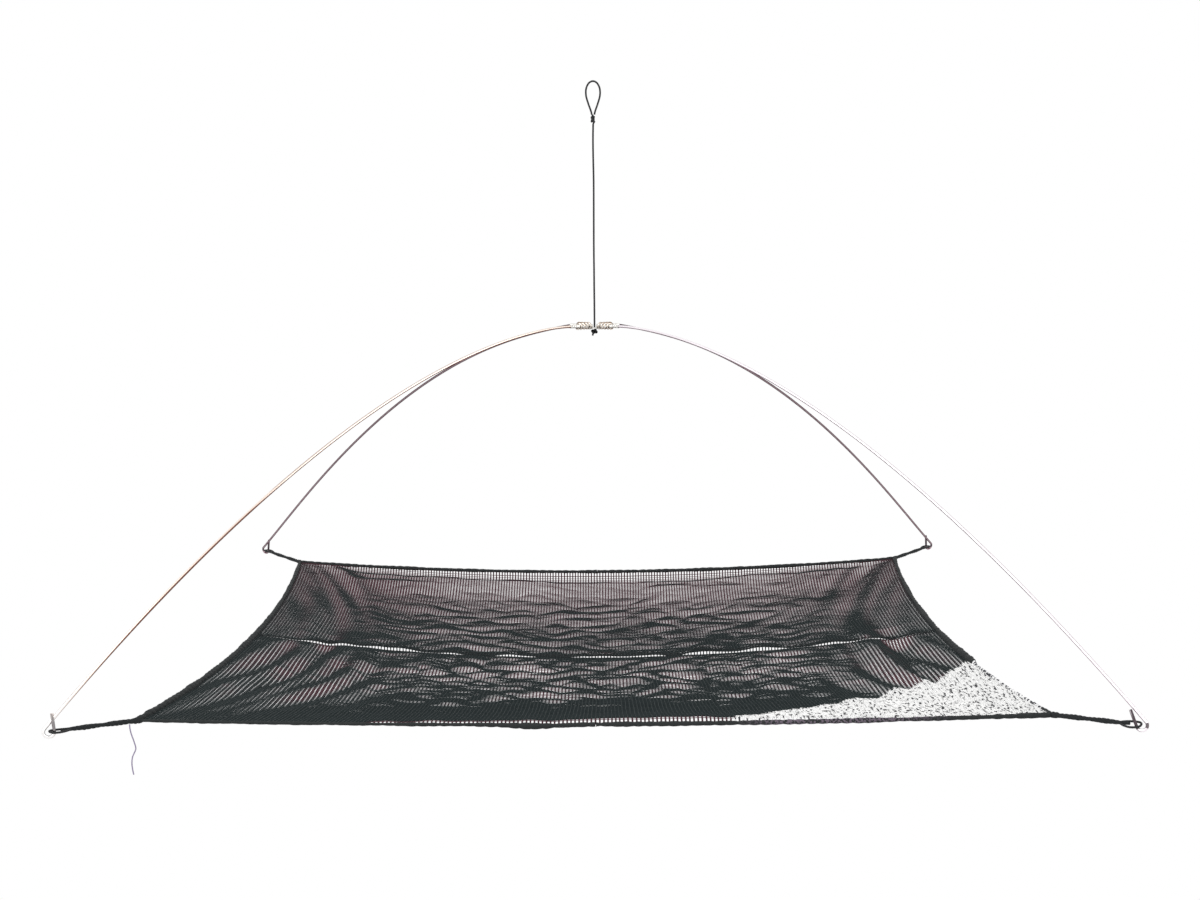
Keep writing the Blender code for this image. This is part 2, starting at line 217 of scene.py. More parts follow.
def smooth_route(route, spacing):
    """Points about one spacing apart on the smooth curve through a route's own points."""
    knots = [Vector(point) for point in route]
    knots = [2 * knots[0] - knots[1], *knots, 2 * knots[-1] - knots[-2]]
    points = []
    for before, start, end, after in zip(knots, knots[1:], knots[2:], knots[3:]):
        steps = max(1, round((end - start).length / spacing))
        for step in range(steps):
            t = step / steps
            bend = 2 * start - 2 * end + (end - before) / 2 + (after - start) / 2
            ease = 3 * (end - start) - (end - before) - (after - start) / 2
            points.append(start + t * (end - before) / 2 + t * t * ease + t**3 * bend)
    points.append(knots[-2])
    return points


def cord_tube(name, points, radius_at, sides):
    """A closed tube along points. radius_at gives its radii for the angles round it at a length.

    Its UV map holds the share of the way round and the length in metres.
    """
    line = np.array([tuple(point) for point in points])
    ahead = np.gradient(line, axis=0)
    ahead /= np.linalg.norm(ahead, axis=1)[:, None]
    lengths = np.concatenate([[0], np.cumsum(np.linalg.norm(np.diff(line, axis=0), axis=1))])
    angles = 2 * math.pi * np.arange(sides) / sides
    normal = np.cross(ahead[0], OFF_AXIS)
    rings = []
    for centre, tangent, length in zip(line, ahead, lengths):
        normal = normal - tangent * (normal @ tangent)
        normal /= np.linalg.norm(normal)
        beside = np.cross(tangent, normal)
        spokes = np.cos(angles)[:, None] * normal + np.sin(angles)[:, None] * beside
        rings.append(centre + spokes * radius_at(angles, length)[:, None])
    last = len(line) - 1
    faces = []
    uvs = []
    for k in range(last):
        for i in range(sides):
            j = (i + 1) % sides
            faces.append((k * sides + i, k * sides + j, (k + 1) * sides + j, (k + 1) * sides + i))
            left, right = i / sides, (i + 1) / sides
            low, high = lengths[k], lengths[k + 1]
            uvs += [(left, low), (right, low), (right, high), (left, high)]
    foot = (last + 1) * sides
    for i in range(sides):
        j = (i + 1) % sides
        faces += [(foot, j, i), (foot + 1, last * sides + i, last * sides + j)]
        uvs += [(i / sides, 0.0)] * 3 + [(i / sides, lengths[-1])] * 3
    mesh = bpy.data.meshes.new(name)
    mesh.from_pydata([*np.concatenate(rings), line[0], line[-1]], [], faces)
    mesh.uv_layers.new(name="length").data.foreach_set("uv", np.array(uvs).ravel())
    mesh.shade_smooth()
    made = bpy.data.objects.new(name, mesh)
    bpy.context.scene.collection.objects.link(made)
    return made


def braid(radius):
    """A round braid: ridges wind both ways and pass over each other."""

    def radius_at(angles, length):
        turn = 2 * math.pi * length / BRAID_STEP
        ridges = BRAID_RIDGES * angles
        crossing = np.maximum(np.cos(ridges + turn), np.cos(ridges - turn))
        return radius * (1 - BRAID_DEPTH + BRAID_DEPTH * crossing)

    return radius_at


def settle(piece, finish, body, slot, *nodes):
    """Gives a piece its material, the body that it moves with and the solids it stands for."""
    piece.data.materials.clear()
    piece.data.materials.append(finish.material)
    if body:
        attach(piece, body)
    if nodes:
        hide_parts(*nodes)


def overhand_knot(name, centre, size, height, facing, lead, tail):
    """A cord knotted over itself: a lead in, most of a trefoil turned to face a way, a tail out."""
    centre = Vector(centre)
    turns = []
    for step in range(KNOT_STEPS + 1):
        angle = KNOT_START + (2 * math.pi - KNOT_GAP) * step / KNOT_STEPS
        reach = size * (1 + KNOT_SWING * math.cos(3 * angle))
        rise = -height * math.sin(3 * angle)
        way = 2 * angle + facing
        turns.append(centre + Vector((reach * math.cos(way), reach * math.sin(way), rise)))
    route = [*map(Vector, lead), *turns, *map(Vector, tail)]
    return cord_tube(name, smooth_route(route, CORD_RING), braid(ROPE_RADIUS), KNOT_SIDES)


braided_black = Finish("braided_black", 0.62, specular=0.2)
uv = braided_black.node("ShaderNodeUVMap", {"uv_map": "length"})
around, along = braided_black.axes(uv)
around = around * (2 * math.pi * BRAID_RIDGES)
along = along * (2 * math.pi / BRAID_STEP)
ridge = (around + along).math("COSINE").math("MAXIMUM", (around - along).math("COSINE"))
raised = braided_black.ease(ridge + 0.5 * braided_black.grain(2500), -0.2, 1.2)
# The grooves between the raised ridges are painted darker: painted shade in the grooves.
braided_black.colour(braided_black.mix(raised, (0.008, 0.008, 0.009), (0.042, 0.044, 0.046)))
braided_black.roughness(0.72 - 0.15 * raised)
braided_black.bump(raised, 0.0002)

rope_points = smooth_route(ROPE_ROUTE, CORD_RING)
lift_rope = cord_tube("lift_rope_braided", rope_points, braid(ROPE_RADIUS), CORD_SIDES)
settle(lift_rope, braided_black, "hub", "black_cord", "lift_rope")

stopper_knot = overhand_knot(
    "stopper_knot_tied",
    centre=(-0.0002, 0.0, ROPE_BOTTOM - 0.0034),
    size=0.0023,
    height=0.0016,
    facing=math.pi / 2,
    lead=[(0.0, 0.0, ROPE_BOTTOM + 0.0002), (0.0014, 0.0006, ROPE_BOTTOM - 0.0014)],
    tail=[(-0.0018, -0.0004, ROPE_BOTTOM - 0.0060), (-0.0024, 0.0, ROPE_BOTTOM - 0.0086)],
)
settle(stopper_knot, braided_black, "hub", "black_cord", "stopper_knot")

loop_knot = overhand_knot(
    "loop_knot_tied",
    centre=(0.0, 0.0, -0.0466),
    size=0.0018,
    height=0.0030,
    facing=0.0,
    lead=[(0.0, 0.0, -0.0524), (0.0008, 0.0, -0.0508)],
    tail=[(0.0005, -0.0008, -0.0430), (-0.0014, 0.0, -0.0408)],
)
settle(loop_knot, braided_black, "hub", "black_cord", "loop_knot")

loop_points = smooth_route(LIFT_LOOP_ROUTE, CORD_RING)
lift_loop = cord_tube("lift_loop_braided", loop_points, braid(ROPE_RADIUS), CORD_SIDES)
settle(lift_loop, braided_black, "hub", "black_cord", "lift_loop")


# Twine end. A loose end of thin violet-grey twine, laid from two plies, is left hanging from the
# front left corner, about 56 mm long, and ends cut.
TWINE_RADIUS = 0.0007
TWINE_PLIES = 2
TWINE_LAY = 0.0042
TWINE_SIDES = 12
LAY_DEPTH = 0.16
TWINE_START = (-0.4800, -0.4835, EYE_Z - 0.0096)
TWINE_ROUTE = (
    (0.0000, 0.0000, 0.0000),
    (0.0005, -0.0004, -0.0050),
    (0.0018, -0.0008, -0.0104),
    (0.0034, -0.0010, -0.0150),
    (0.0046, -0.0010, -0.0190),
    (0.0056, -0.0008, -0.0230),
    (0.0055, -0.0004, -0.0265),
    (0.0036, 0.0000, -0.0305),
    (0.0018, 0.0002, -0.0345),
    (0.0010, 0.0004, -0.0390),
    (0.0009, 0.0004, -0.0430),
    (0.0014, 0.0002, -0.0475),
    (0.0024, 0.0000, -0.0530),
)


def laid(radius, strands, lay):
    """Strands twisted together: as many lobes as strands, turned once round in a lay's length."""

    def radius_at(angles, length):
        lobes = np.abs(np.cos(strands * (angles - 2 * math.pi * length / lay) / 2))
        return radius * (1 - LAY_DEPTH + LAY_DEPTH * lobes)

    return radius_at


grey_twine = Finish("grey_twine", 0.85)
fluff = grey_twine.grain(3000, detail=4.0)
grey_twine.colour(grey_twine.mix(fluff, (0.20, 0.16, 0.27), (0.46, 0.40, 0.56)))
grey_twine.bump(fluff, 0.0001)

twine_points = smooth_route([Vector(TWINE_START) + Vector(step) for step in TWINE_ROUTE], CORD_RING)
twine_shape = laid(TWINE_RADIUS, TWINE_PLIES, TWINE_LAY)
twine_end = cord_tube("twine_end_laid", twine_points, twine_shape, TWINE_SIDES)
settle(twine_end, grey_twine, "front_left_net", "grey_twine", "twine_end")


# Hub plate. A bright stamping of plated steel: a disc with a rope hole and four bent-up tabs, each
# with a spigot that a spring is wound on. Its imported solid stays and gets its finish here.
def plated(name, pale, dark, roughness):
    """Plated steel: slightly cloudy, with fine drawn lines and dull specks."""
    made = Finish(name, roughness, metallic=1.0)
    cloud = made.grain(180, detail=4.0)
    specks = made.ease(made.grain(2600, detail=3.0), 0.60, 0.72)
    made.colour(made.mix(0.55 * cloud + 0.45 * specks, pale, dark))
    made.roughness(roughness + 0.18 * cloud + 0.15 * specks)
    made.bump(made.grain(1400, stretch=(1.0, 1.0, 4.0)), 0.00004)
    return made


plated_steel = plated("plated_steel", (0.86, 0.85, 0.82), (0.55, 0.52, 0.47), 0.22)
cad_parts["hub_plate"].material_slots[0].material = plated_steel.material


# Hub springs. Four open coils of 1.8 mm steel wire, wound on the plate's spigots and gripping the
# rib sleeves, let each rib swing down.
CORNERS = {
    "front_left": (-1, -1),
    "front_right": (1, -1),
    "rear_left": (-1, 1),
    "rear_right": (1, 1),
}
SPRING_WIRE = 0.0018
SPRING_RADIUS = 0.0037
SPRING_START = 0.0088
SPRING_PITCH = 0.0055
SPRING_TURNS = 4
SPRING_STEPS = 28
SPRING_ROUNDNESS = 3
FLANK_RISE = 0.8
LOWER_SHADE_LEVEL = 0.60
# Painted shade on parts of a rib's eye and on its leg.
MARK_SHADE_STEEL = (0.10, 0.08, 0.09)
# A painted highlight on the front left rib's eye.
HIGHLIGHT_STEEL = (0.97, 0.95, 0.94)


def corner_point(corner, reach, side, z):
    """A point by its reach out along a corner's diagonal and its offset beside it."""
    sx, sy = CORNERS[corner]
    outward = Vector((sx, sy, 0.0)) / math.sqrt(2)
    beside = Vector((-sx, sy, 0.0)) / math.sqrt(2)
    return outward * reach + beside * side + Vector((0.0, 0.0, z))


def carry(piece, name, values):
    """Gives a piece's points one value each, under a name that its material can read."""
    piece.data.attributes.new(name, "FLOAT", "POINT").data.foreach_set("value", values)


def carried(finish, name):
    """What a piece's points carry under a name."""
    return finish.node("ShaderNodeAttribute", {"attribute_name": name}, output="Fac")


def wire(name, points, radius, bevel_resolution, corner, lower_shade=None):
    """A bent round wire with flat cut ends, drawn as a path and made a mesh.

    Its "flank" attribute is 1 along the two sides that make its outline seen from the front, for
    painted shade there. Where a share for each point says so, it is high on the lower side alone.
    """
    bpy.ops.object.select_all(action="DESELECT")
    bpy.ops.curve.primitive_nurbs_path_add()
    made = bpy.context.object
    made.name = name
    made.data.splines.clear()
    spline = made.data.splines.new("POLY")
    spline.points.add(len(points) - 1)
    for target, point in zip(spline.points, points):
        target.co = (*point, 1.0)
    made.data.bevel_depth = radius
    made.data.bevel_resolution = bevel_resolution
    made.data.use_fill_caps = True
    bpy.ops.object.convert(target="MESH")
    bpy.ops.object.mode_set(mode="EDIT")
    bpy.ops.mesh.select_all(action="SELECT")
    bpy.ops.mesh.remove_doubles(threshold=radius * 0.01)
    bpy.ops.mesh.normals_make_consistent(inside=False)
    bpy.ops.object.mode_set(mode="OBJECT")
    bpy.ops.object.shade_smooth_by_angle(angle=math.radians(50))
    bpy.ops.object.transform_apply()
    # Painted shade goes on the two sides that make the wire's outline seen from the front.
    flank = Vector((CORNERS[corner][0], 0.0, FLANK_RISE)).normalized()
    across = [vertex.normal.dot(flank) for vertex in made.data.vertices]
    shares = [abs(share) for share in across]
    if lower_shade:
        ring = len(across) // len(points)
        lower_shade = [lower_shade[min(k // ring, len(lower_shade) - 1)] for k in range(len(across))]
        shares = [share + w * (LOWER_SHADE_LEVEL - a - share) for share, a, w in zip(shares, across, lower_shade)]
    carry(made, "flank", shares)
    return made


def drawn(name, pale, dark, roughness, edge):
    """Drawn steel wire: bright, with painted shade along each flank and on parts of its eye and
    leg.

    Under a painted highlight it is paler still and has no flank shade.
    """
    made = Finish(name, roughness, metallic=1.0)
    flank, shade_mark, highlit = [carried(made, name) for name in ("flank", "shade_mark", "highlit")]
    cloud = made.grain(60, detail=4.0)
    # Painted shade along the flanks.
    flank_shade = made.ease(flank - 0.3 * highlit + 0.12 * cloud, edge, edge + 0.18)
    unshaded = made.mix(highlit, pale, HIGHLIGHT_STEEL)
    made.colour(made.mix(shade_mark, made.mix(flank_shade, unshaded, dark), MARK_SHADE_STEEL))
    made.roughness(roughness + 0.15 * flank_shade + 0.10 * cloud)
    return made


# The rear springs are a darker copy of the front ones: painted shade.
front_spring = drawn("front_spring_steel", (0.92, 0.84, 0.75), (0.12, 0.07, 0.05), 0.25, 0.52)
rear_spring = drawn("rear_spring_steel", (0.42, 0.29, 0.19), (0.08, 0.05, 0.03), 0.32, 0.30)
for corner, (_, sy) in CORNERS.items():
    coil = []
    for step in range(SPRING_TURNS * SPRING_STEPS + 1):
        angle = 2 * math.pi * step / SPRING_STEPS
        reach = SPRING_START + SPRING_PITCH * step / SPRING_STEPS
        side = SPRING_RADIUS * math.sin(angle)
        coil.append(corner_point(corner, reach, side, HUB_Z - SPRING_RADIUS * math.cos(angle)))
    straight = corner_point(corner, 0, SPRING_WIRE, 0)
    coil = [coil[0] - straight, *coil, coil[-1] + straight]
    spring_name = f"hub_spring_{corner}_wound"
    spring = wire(spring_name, coil, SPRING_WIRE / 2, SPRING_ROUNDNESS, corner)
    finish = front_spring if sy < 0 else rear_spring
    settle(spring, finish, None, "spring_steel", f"hub_spring_{corner}")
    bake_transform(spring)


# Rib sleeves. A short plated tube is crimped on the inner end of each rib in three places, and the
# spring's outer turns grip it.
SLEEVE_START = 0.0225
SLEEVE_END = 0.0440
SLEEVE_RADIUS = 0.0023
SLEEVE_BORE = 0.00185
SLEEVE_SIDES = 28
SLEEVE_LIP = 0.0003
CRIMPS = (0.0335, 0.0370, 0.0405)
CRIMP_DEPTH = 0.00030
CRIMP_OUTLINE = ((-0.0009, 0.0), (-0.0005, 0.8), (0.0, 1.0), (0.0005, 0.8), (0.0009, 0.0))


def turned(name, outline, sides):
    """A ring turned round the X axis from its closed outline of (place along X, radius)."""
    bpy.ops.object.select_all(action="DESELECT")
    bpy.ops.mesh.primitive_circle_add(vertices=len(outline))
    made = bpy.context.object
    made.name = name
    for vertex, (place, radius) in zip(made.data.vertices, outline):
        vertex.co = (place, 0.0, radius)
    bpy.ops.object.mode_set(mode="EDIT")
    bpy.ops.mesh.select_all(action="SELECT")
    bpy.ops.mesh.spin(steps=sides, angle=2 * math.pi, center=(0, 0, 0), axis=(1, 0, 0))
    bpy.ops.mesh.select_all(action="SELECT")
    bpy.ops.mesh.remove_doubles(threshold=0.00001)
    bpy.ops.mesh.normals_make_consistent(inside=False)
    bpy.ops.object.mode_set(mode="OBJECT")
    bpy.ops.object.shade_smooth_by_angle(angle=math.radians(40))
    return made


sleeve_outline = [(SLEEVE_START, SLEEVE_BORE), (SLEEVE_START, SLEEVE_RADIUS - SLEEVE_LIP)]
sleeve_outline.append((SLEEVE_START + SLEEVE_LIP, SLEEVE_RADIUS))
for crimp in CRIMPS:
    for offset, depth in CRIMP_OUTLINE:
        sleeve_outline.append((crimp + offset, SLEEVE_RADIUS - depth * CRIMP_DEPTH))
sleeve_outline.append((SLEEVE_END - SLEEVE_LIP, SLEEVE_RADIUS))
sleeve_outline += [(SLEEVE_END, SLEEVE_RADIUS - SLEEVE_LIP), (SLEEVE_END, SLEEVE_BORE)]
for corner, (sx, sy) in CORNERS.items():
    sleeve = turned(f"rib_sleeve_{corner}_crimped", sleeve_outline, SLEEVE_SIDES)
    sleeve.data.transform(Matrix.Rotation(math.atan2(sy, sx), 4, "Z"))
    sleeve.data.transform(Matrix.Translation((0, 0, HUB_Z)))
    settle(sleeve, plated_steel, f"{corner}_rib", "plated_steel", f"rib_sleeve_{corner}")


# Ribs. Each is one length of 3.2 mm hard wire, bowed down to its corner, its end curled into an
# eye with an upturned leg. The rear pair droops a little and is darker: painted shade. The front
# left one is tanned, with painted shade on its lower side and a painted highlight on its eye.
EYE_REACH = 1.088 / math.sqrt(2)
RIB_WIRE = 0.0032
RIB_BEND_POWER = 1.73
REAR_RIB_DROOP = 0.0070
DROOP_FLATNESS = 14
RIB_STEPS = 90
RIB_ROUNDNESS = 6
RIB_START = SLEEVE_START + 0.0003
FIRST_HEADING = -45
HEADING_FITS = 8
EYE_RADIUS = 0.0050
EYE_SIDESTEP = 0.0037
EYE_STEPS = 48
LEG_LENGTH = 0.0180
LEG_LEAN = {"front_left": -6, "front_right": 24, "rear_left": 8, "rear_right": 4}

# The steps round the eye that carry painted shade, and how dark it is there and on the leg.
EYE_SHADE_STEPS = (4, 16)
LEG_SHADE_FROM = 42
TANNED_SHADE_MARKS = (0.0, 0.78)
PLAIN_SHADE_MARKS = (0.9, 1.0)

# Where the lower side's painted shade starts and ends, as shares of the rib, each with its run.
LOWER_SHADE_STARTS = (0.62, 0.06)
LOWER_SHADE_ENDS = (0.84, 0.14)
HIGHLIGHT_STEPS = 6


def passed(value, start, length):
    """The share of a length from start that a value has passed, from 0 to 1."""
    return min(1.0, max(0.0, (value - start) / length))


def rib_points(corner):
    """The centre line of a rib: straight in its sleeve, bowed to its tip, then an eye and a leg."""
    droop = REAR_RIB_DROOP if corner.startswith("rear") else 0
    heading = math.radians(FIRST_HEADING)
    for _ in range(HEADING_FITS):
        entry_reach = EYE_REACH - EYE_RADIUS * math.sin(heading)
        entry_z = EYE_Z + EYE_RADIUS * math.cos(heading)
        run = entry_reach - SLEEVE_END
        drop = HUB_Z - entry_z
        heading = -math.atan((RIB_BEND_POWER * drop - DROOP_FLATNESS * droop) / run)
    points = [corner_point(corner, RIB_START, 0, HUB_Z)]
    for step in range(RIB_STEPS):
        share = step / RIB_STEPS
        lower = droop * (1 - share**DROOP_FLATNESS - (1 - share) ** DROOP_FLATNESS)
        z = HUB_Z - drop * share**RIB_BEND_POWER - lower
        points.append(corner_point(corner, SLEEVE_END + run * share, 0, z))
    lean = math.radians(LEG_LEAN[corner])
    turn = heading + 1.5 * math.pi - lean
    for step in range(EYE_STEPS + 1):
        share = step / EYE_STEPS
        angle = math.pi / 2 + heading - turn * share
        side = EYE_SIDESTEP * (1 - math.cos(math.pi * share)) / 2
        reach = EYE_REACH + EYE_RADIUS * math.cos(angle)
        points.append(corner_point(corner, reach, side, EYE_Z + EYE_RADIUS * math.sin(angle)))
    leg = corner_point(corner, -math.sin(lean) * LEG_LENGTH, 0, math.cos(lean) * LEG_LENGTH)
    return [*points, points[-1] + leg / 2, points[-1] + leg]


def lower_shade_share(share):
    """How far a rib's lower side alone is painted in shade, at a share of the way from hub to eye.
    """
    return passed(share, *LOWER_SHADE_STARTS) - passed(share, *LOWER_SHADE_ENDS)


# The rear ribs are a darker copy of the steel: painted shade.
rear_wire = drawn("rear_rib_steel", (0.36, 0.25, 0.28), (0.07, 0.04, 0.05), 0.30, 0.40)
wires = {
    "front_left": drawn("tanned_rib_steel", (0.92, 0.79, 0.70), (0.24, 0.11, 0.08), 0.22, 0.55),
    "front_right": drawn("bright_rib_steel", (0.94, 0.88, 0.92), (0.40, 0.30, 0.35), 0.20, 0.66),
    "rear_left": rear_wire,
    "rear_right": rear_wire,
}
for corner in CORNERS:
    points = rib_points(corner)
    lower_shade = None
    # The front left rib gets painted shade on its lower side.
    if corner == "front_left":
        lower_shade = [lower_shade_share(k / RIB_STEPS) for k in range(len(points))]
    rib = wire(f"rib_{corner}_bowed", points, RIB_WIRE / 2, RIB_ROUNDNESS, corner, lower_shade)
    ring = len(rib.data.vertices) // len(points)
    steps = [k // ring - 1 - RIB_STEPS for k in range(len(rib.data.vertices))]
    # Painted shade on part of the eye and on the leg.
    eye_shade, leg = TANNED_SHADE_MARKS if corner == "front_left" else PLAIN_SHADE_MARKS
    shade_marks = [
        eye_shade * (EYE_SHADE_STEPS[0] <= step <= EYE_SHADE_STEPS[1]) + leg * (step >= LEG_SHADE_FROM) for step in steps
    ]
    carry(rib, "shade_mark", shade_marks)
    # The front left eye, and the steps just before it, get a painted highlight.
    if corner == "front_left":
        carry(rib, "highlit", [passed(step, -HIGHLIGHT_STEPS, HIGHLIGHT_STEPS) for step in steps])
    settle(rib, wires[corner], f"{corner}_rib", "rib_steel", f"rib_{corner}")


# Corner loops. A loop of braided black cord passes through each rib's eye and carries the corner,
# its two ends buried in the corner's tail. The front right one gapes, the others lie flat.
KNOT_DROP = 0.008
PANEL_HALF = 0.474
KNOT_REACH = PANEL_HALF * math.sqrt(2)
TAIL_RISE = KNOT_DROP / (EYE_REACH - KNOT_REACH)
LOOP_CORD_RADIUS = 0.0012
LOOP_SIDES = 14
GAPING_LOOP = "front_right"
FLAT_LOOP_SHARE = 0.1

# How far each point lies inward of the eye, to its side and above the line of the tail.
LOOP_ROUTE = (
    (0.0236, -0.0015, 0.0006),
    (0.0180, -0.0028, 0.0014),
    (0.0110, -0.0035, 0.0018),
    (0.0050, -0.0033, 0.0016),
    (0.0022, -0.0012, 0.0008),
    (0.0016, 0.0019, -0.0004),
    (0.0022, 0.0050, -0.0010),
    (0.0050, 0.0072, -0.0014),
    (0.0110, 0.0072, -0.0018),
    (0.0180, 0.0048, -0.0014),
    (0.0236, 0.0015, -0.0006),
)


def gather(piece, corner):
    """Gives a soft piece its own copy of its mesh."""
    corner_point(corner, 0, 1, 0)
    corner_point(corner, EYE_REACH, 0, EYE_Z)
    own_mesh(piece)


for corner in CORNERS:
    spread = 1.0 if corner == GAPING_LOOP else FLAT_LOOP_SHARE
    route = [
        corner_point(corner, EYE_REACH - inward, side, EYE_Z - inward * TAIL_RISE + spread * rise)
        for inward, side, rise in LOOP_ROUTE
    ]
    loop_points = smooth_route(route, CORD_RING)
    loop_name = f"corner_loop_{corner}_braided"
    loop = cord_tube(loop_name, loop_points, braid(LOOP_CORD_RADIUS), LOOP_SIDES)
    settle(loop, braided_black, f"{corner}_net", "black_cord", f"corner_loop_{corner}")


# Corner tails. Beyond the corner knot the black netting is gathered in pleats and twisted tight
# into a lumpy tail, which narrows to the corner loop and holds the loop's ends. Its profile gives
# its radius at distances out from the corner knot.
TAIL_PROFILE = (
    (-0.0042, 0.0018),
    (-0.0025, 0.0031),
    (0.0000, 0.0035),
    (0.0035, 0.0032),
    (0.0080, 0.0024),
    (0.0180, 0.0027),
    (0.0280, 0.0028),
    (0.0400, 0.0020),
    (0.0500, 0.0025),
    (0.0600, 0.0028),
    (0.0680, 0.0023),
    (0.0780, 0.0018),
    (0.0850, 0.0015),
)
TAIL_TWIST = 0.026
TAIL_LOBES = 5
TAIL_CORE = 0.80
TAIL_PLEAT = 0.24
TAIL_LOOSE = 0.10
TAIL_LOOSE_LENGTH = 0.006
TAIL_RING = 0.0006
TAIL_SIDES = 26

twisted_black = Finish("twisted_black", 0.72, specular=0.15)
fibre = twisted_black.grain(1500, detail=4.0)
twisted_black.colour(twisted_black.mix(fibre, (0.006, 0.008, 0.009), (0.040, 0.044, 0.045)))
twisted_black.bump(fibre, 0.0004)


def gathered(profile):
    """The outline of a gathered tail: its radius along it, drawn in between turning pleats."""
    places = [distance - profile[0][0] for distance, _ in profile]
    radii = [radius for _, radius in profile]

    def radius_at(angles, length):
        radius = np.interp(length, places, radii)
        pleats = np.abs(np.cos(TAIL_LOBES * (angles - 2 * math.pi * length / TAIL_TWIST) / 2))
        along = length / TAIL_LOOSE_LENGTH
        loose = [noise.noise((math.cos(a), math.sin(a), along)) for a in angles]
        return radius * (TAIL_CORE + TAIL_PLEAT * pleats + TAIL_LOOSE * np.array(loose))

    return radius_at


for corner in CORNERS:
    route = [
        corner_point(corner, KNOT_REACH + distance, 0, EYE_Z - KNOT_DROP + distance * TAIL_RISE)
        for distance, _ in TAIL_PROFILE
    ]
    tail_points = smooth_route(route, TAIL_RING)
    tail_name = f"corner_tail_{corner}_twisted"
    tail = cord_tube(tail_name, tail_points, gathered(TAIL_PROFILE), TAIL_SIDES)
    settle(tail, twisted_black, f"{corner}_net", "black_cord", f"corner_tail_{corner}")


# Netting. Knotless black bait netting with a mesh of about 4 mm, cut 0.914 m square and made here
# in four quarters. It hangs from its edge ropes in low folds, and one corner of it is white.
CUT_HALF = 0.457
GAPS = 110
SELVEDGE_GAP = 0.0060
SIDE_DRAWN_IN = 0.025
EDGE_SAG = 0.014
POCKET_SAG = 0.020
POCKET_POWER = 3
WARP_WIDTH = 0.00184
WEFT_WIDTH = 0.00100
THREAD_HEIGHT = 0.00092
MESH_PITCH = (CUT_HALF - SELVEDGE_GAP) / (GAPS - 1)
SLOPE_SAMPLES = 4001

# How far each hem bends the netting up, or down below 0, and in what lengths that starts and fades.
FRONT_HEM = (0.0064, 0.0048, 0.16)
REAR_HEM = (-0.0150, 0.0100, 0.25)

# Two creases: each one's distance from the rear hem, its height and the share of it that stands.
# Each has a steep back and a long front, and it drifts and fades in waves across the net.
REAR_CREASES = ((0.029, 0.0066, 0.85), (0.064, 0.0044, 0.10))
CREASE_BACK = 0.0085
CREASE_FRONT = 0.0550
CREASE_DRIFT = (0.013, 4)
CREASE_FADE = (1.3, 6)
CREASE_APART = 90

# How wide the row beside the front hem gapes: a base, a gain to the right, which has a start and a
# run, and uneven waves. The gape opens from a start at the left.
FRONT_GAPE = 0.68
GAPE_GAIN = (0.55, -0.26, 0.46)
GAPE_WAVE = (0.42, 15)
GAPE_OPENS = (-0.56, 0.10)
LEAST_GAPE = 0.1

# Towards the sides the warps are bunched: from which share of the width, and by how much. Near the
# rear hem they lie loose.
BUNCHED = {"left": (0.42, 0.65), "right": (0.55, 0.40)}
BUNCHED_REACH = 0.30
LOOSE_AT_REAR = (0.015, 0.06)
MIDDLE_THREAD_SHARE = 0.7

# The two selvedges at the seam. Their step has waves of a height and a length.
SEAM_STEP = 0.0040
SEAM_REACH = 0.012
SEAM_WAVE = (1.8, 0.05)
SEAM_LEAST = 0.62
FRONT_SEAM_STEP = -0.0004
SEAM_GAP = 0.0008

# The folds' heights, with their lengths across and along the net, in metres.
FOLD_DRIFT = (0.018, 0.050, 0.15)
BROAD_FOLDS = (0.0026, 0.15, 0.070)
BILLOWS = (0.0054, 0.050, 0.043)
FINE_CREASES = (0.0012, 0.030, 0.018)
SIDE_FOLDS = (0.0120, 0.030, 0.22)

# The side folds fan out and start at a slant. The trough has a place, a width and a depth.
SIDE_FAN = 0.10
SIDE_START = 0.50
SIDE_SLANT = 0.12
SIDE_REACH = 0.30
RIGHT_TROUGH = (0.422, 0.028, 0.0100)

# The slack of the netting grows behind the front hem and falls across the seam: by how much, from
# where and in what run. Its four edges and the seam hold it flat.
FRONT_SLACK = 0.20
SLACK_GAIN = (0.90, -0.88, 0.40)
SLACK_LOSS = (0.65, -0.05, 0.20)
HELD_SIDES = 0.05
HELD_ENDS = 0.04
HELD_SEAM = (0.75, 0.05)

# The threads' wander, in metres, with its waves across and along a half of the net.
WARP_WANDER = (0.0014, 26, 2.5)
WARP_JITTER = (0.0003, 90, 60)
WEFT_JITTER = (0.0004, 60, 90)


def panel_point(u, v):
    """A point of the hung netting. u and v run from -1 to 1 across its width and depth."""
    across = 1 - u * u
    along = 1 - v * v
    x = u * (PANEL_HALF - SIDE_DRAWN_IN * along)
    y = v * (PANEL_HALF - SIDE_DRAWN_IN * across)
    pocket = POCKET_SAG * across * (1 - abs(v) ** POCKET_POWER)
    return Vector((x, y, EYE_Z - KNOT_DROP - EDGE_SAG * (across + along) - pocket))


def waves(folds, x, y, seed):
    """The height of a kind of folds at a place."""
    height, across, along = folds
    return height * noise.noise((x / across, y / along, seed))


def bump_at(x, centre, width):
    """A smooth bump, 1 at its centre."""
    return math.exp(-(((x - centre) / width) ** 2))


